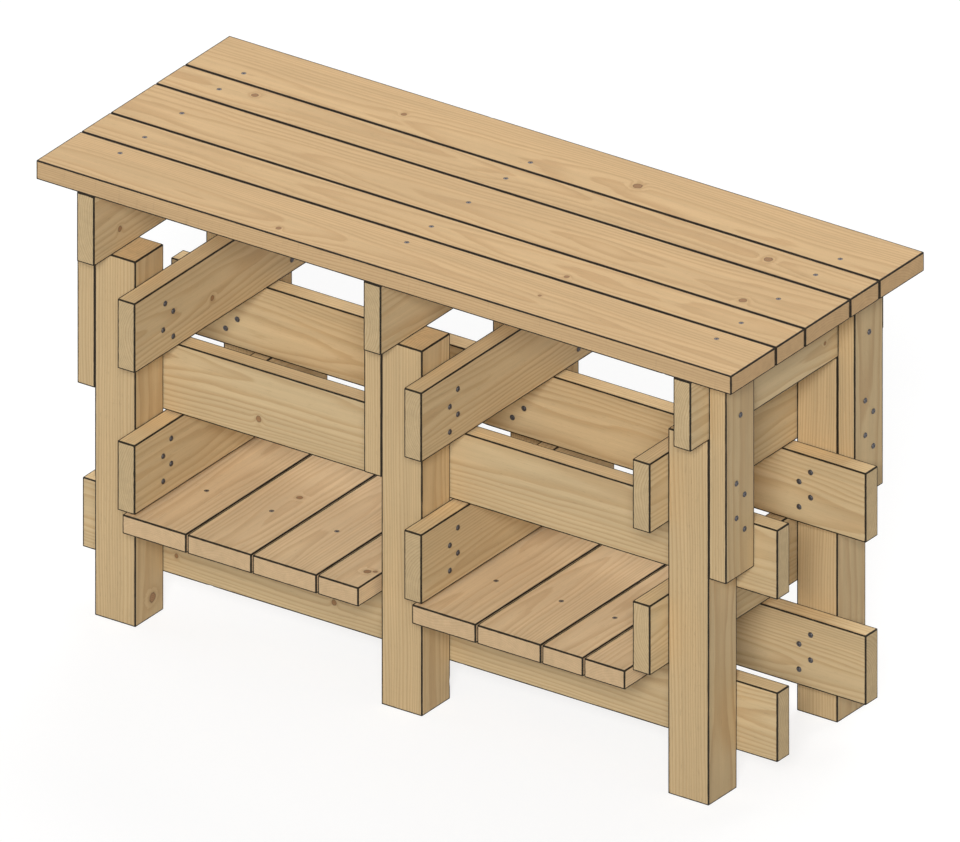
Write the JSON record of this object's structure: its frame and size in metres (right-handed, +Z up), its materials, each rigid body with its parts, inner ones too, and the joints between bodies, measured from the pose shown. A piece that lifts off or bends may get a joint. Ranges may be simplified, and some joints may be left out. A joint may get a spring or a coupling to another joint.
{
  "type": "workbench",
  "caption": "Softwood workbench: a slatted top on post legs, tied by crossing rails that carry low storage shelves, all screwed together from planed lumber.",
  "frame": {"origin": "on the floor, under the middle of the worktop", "axes": "+Z up; +X along the worktop to the right as seen from the front; the front faces -Y"},
  "size_m": [1.524, 0.6096, 0.9144],
  "materials": {
    "worktop_wood": "planed softwood, bare, lightly worn",
    "frame_wood": "planed softwood, bare",
    "leg_wood": "planed softwood post, bare",
    "shelf_wood": "planed softwood, bare, lightly worn",
    "screw_steel": "dark coated steel"
  },
  "bodies": {
    "root": {"top_board_1": "worktop_wood", "top_board_2": "worktop_wood", "top_board_3": "worktop_wood", "top_board_4": "worktop_wood", "top_board_5": "worktop_wood", "bearer_left": "frame_wood", "bearer_middle": "frame_wood", "bearer_right": "frame_wood", "leg_left_front": "leg_wood", "leg_left_back": "leg_wood", "leg_middle_front": "leg_wood", "leg_middle_back": "leg_wood", "leg_right_front": "leg_wood", "leg_right_back": "leg_wood", "splice_left_front": "frame_wood", "splice_left_back": "frame_wood", "splice_middle_front": "frame_wood", "splice_middle_back": "frame_wood", "splice_right_front": "frame_wood", "splice_right_back": "frame_wood", "long_rail_front_lower": "frame_wood", "long_rail_front_upper": "frame_wood", "long_rail_back_lower": "frame_wood", "long_rail_back_upper": "frame_wood", "cross_rail_left_lower": "frame_wood", "cross_rail_left_upper": "frame_wood", "cross_rail_middle_lower": "frame_wood", "cross_rail_middle_upper": "frame_wood", "cross_rail_right_lower": "frame_wood", "cross_rail_right_upper": "frame_wood", "shelf_board_left_1": "shelf_wood", "shelf_board_left_2": "shelf_wood", "shelf_board_left_3": "shelf_wood", "shelf_board_left_4": "shelf_wood", "shelf_board_right_1": "shelf_wood", "shelf_board_right_2": "shelf_wood", "shelf_board_right_3": "shelf_wood", "shelf_board_right_4": "shelf_wood", "top_screw_left_1": "screw_steel", "top_screw_left_2": "screw_steel", "top_screw_left_3": "screw_steel", "top_screw_left_4": "screw_steel", "top_screw_left_5": "screw_steel", "top_screw_middle_1": "screw_steel", "top_screw_middle_2": "screw_steel", "top_screw_middle_3": "screw_steel", "top_screw_middle_4": "screw_steel", "top_screw_middle_5": "screw_steel", "top_screw_right_1": "screw_steel", "top_screw_right_2": "screw_steel", "top_screw_right_3": "screw_steel", "top_screw_right_4": "screw_steel", "top_screw_right_5": "screw_steel", "splice_screw_left_front": "screw_steel", "splice_screw_left_back": "screw_steel", "splice_screw_middle_front": "screw_steel", "splice_screw_middle_back": "screw_steel", "splice_screw_right_front": "screw_steel", "splice_screw_right_back": "screw_steel"}
  },
  "joints": []
}
